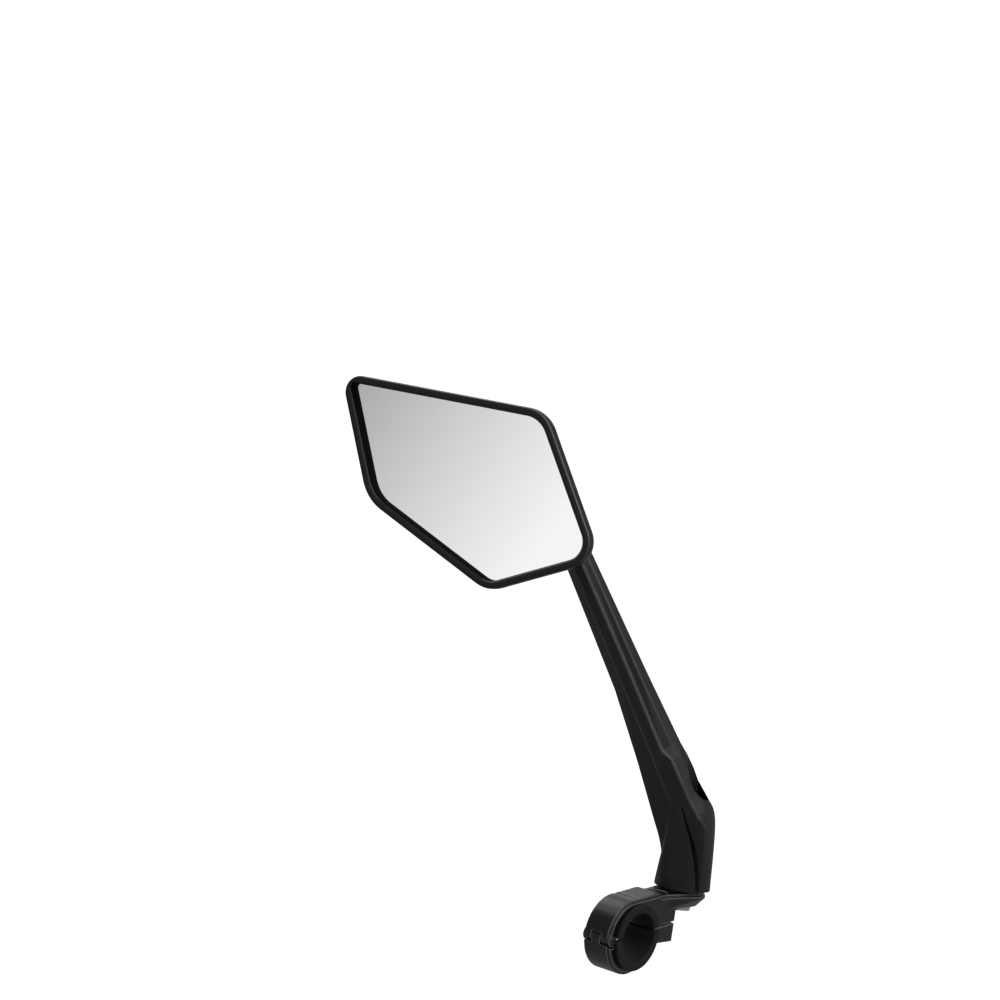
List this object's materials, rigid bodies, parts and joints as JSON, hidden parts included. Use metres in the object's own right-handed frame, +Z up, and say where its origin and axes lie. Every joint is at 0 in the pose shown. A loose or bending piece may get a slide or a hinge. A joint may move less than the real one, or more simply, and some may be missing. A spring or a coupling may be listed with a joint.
{
  "type": "bicycle mirror",
  "caption": "Left-hand bicycle handlebar mirror: five-sided glass on a ball joint, swivelling faceted arm and hinged, rubber-lined bar clamp.",
  "frame": {"origin": "on the handlebar's axis, at the middle of the clamp's width", "axes": "+X along the bar towards the middle of the bicycle, +Y forwards, +Z up along the arm's swivel axis"},
  "size_m": [0.1774, 0.0973, 0.2378],
  "materials": {
    "black_alloy": "black anodised, satin gloss",
    "dark_steel": "black oxide",
    "bright_steel": "plain bright steel",
    "rubber": "matt black rubber",
    "acetal": "natural acetal",
    "black_acetal": "black acetal, smooth",
    "arm_plastic": "fine-grained moulded nylon, matt black",
    "housing_plastic": "satin black moulded plastic",
    "brass": "turned brass",
    "foam": "adhesive foam",
    "silvered_glass": "back-silvered float glass"
  },
  "bodies": {
    "clamp": {"clamp_upper": "black_alloy", "liner_upper": "rubber", "hinge_pin": "dark_steel", "friction_washer": "black_acetal", "pivot_bolt": "dark_steel", "pivot_washer": "bright_steel", "pivot_spring": "bright_steel", "glide_washer": "acetal", "pivot_nut": "bright_steel"},
    "clamp_jaw": {"clamp_lower": "black_alloy", "liner_lower": "rubber"},
    "clamp_screw": {"clamp_bolt": "dark_steel", "clamp_bolt_washer": "bright_steel"},
    "arm": {"arm": "arm_plastic", "pivot_bush": "brass", "ball_stud": "bright_steel", "stud_washer": "bright_steel", "stud_nut": "bright_steel", "stud_cap": "rubber"},
    "ball_shell": {"ball_liner": "acetal"},
    "ball_seat": {"pressure_cup": "acetal"},
    "head": {"mirror_housing": "housing_plastic", "seat_spring": "bright_steel", "retainer_plate": "bright_steel", "retainer_screws": "dark_steel", "glass_pad": "foam", "mirror_glass": "silvered_glass"}
  },
  "joints": [
    {"name": "clamp_hinge", "type": "hinge", "parent": "clamp", "child": "clamp_jaw", "pos_m": [0, -0.01565, 0], "axis": [-1, 0, 0], "range_deg": [0, 70]},
    {"name": "clamp_screw_lift", "type": "slide", "parent": "clamp", "child": "clamp_screw", "axis": [0, 0, 1], "range_m": [0, 0.0141]},
    {"name": "arm_swivel", "type": "hinge", "parent": "clamp", "child": "arm", "pos_m": [0, 0.03905, 0.018], "axis": [0, 0, 1], "continuous": true},
    {"name": "head_pan", "type": "hinge", "parent": "arm", "child": "ball_shell", "pos_m": [-0.07628, -0.0098, 0.18119], "axis": [-0.0109, 0.0512, 0.9986], "range_deg": [-18, 18]},
    {"name": "head_tilt", "type": "hinge", "parent": "ball_shell", "child": "ball_seat", "pos_m": [-0.07628, -0.0098, 0.18119], "axis": [0.9781, 0.2079, 0], "range_deg": [-18, 18]},
    {"name": "head_roll", "type": "hinge", "parent": "ball_seat", "child": "head", "pos_m": [-0.07628, -0.0098, 0.18119], "axis": [0.2076, -0.9768, 0.0523], "range_deg": [-45, 45]}
  ],
  "couplings": [
    {"joint": "clamp_screw_lift", "follows": "clamp_hinge", "m_per_rad": 0.0115}
  ]
}
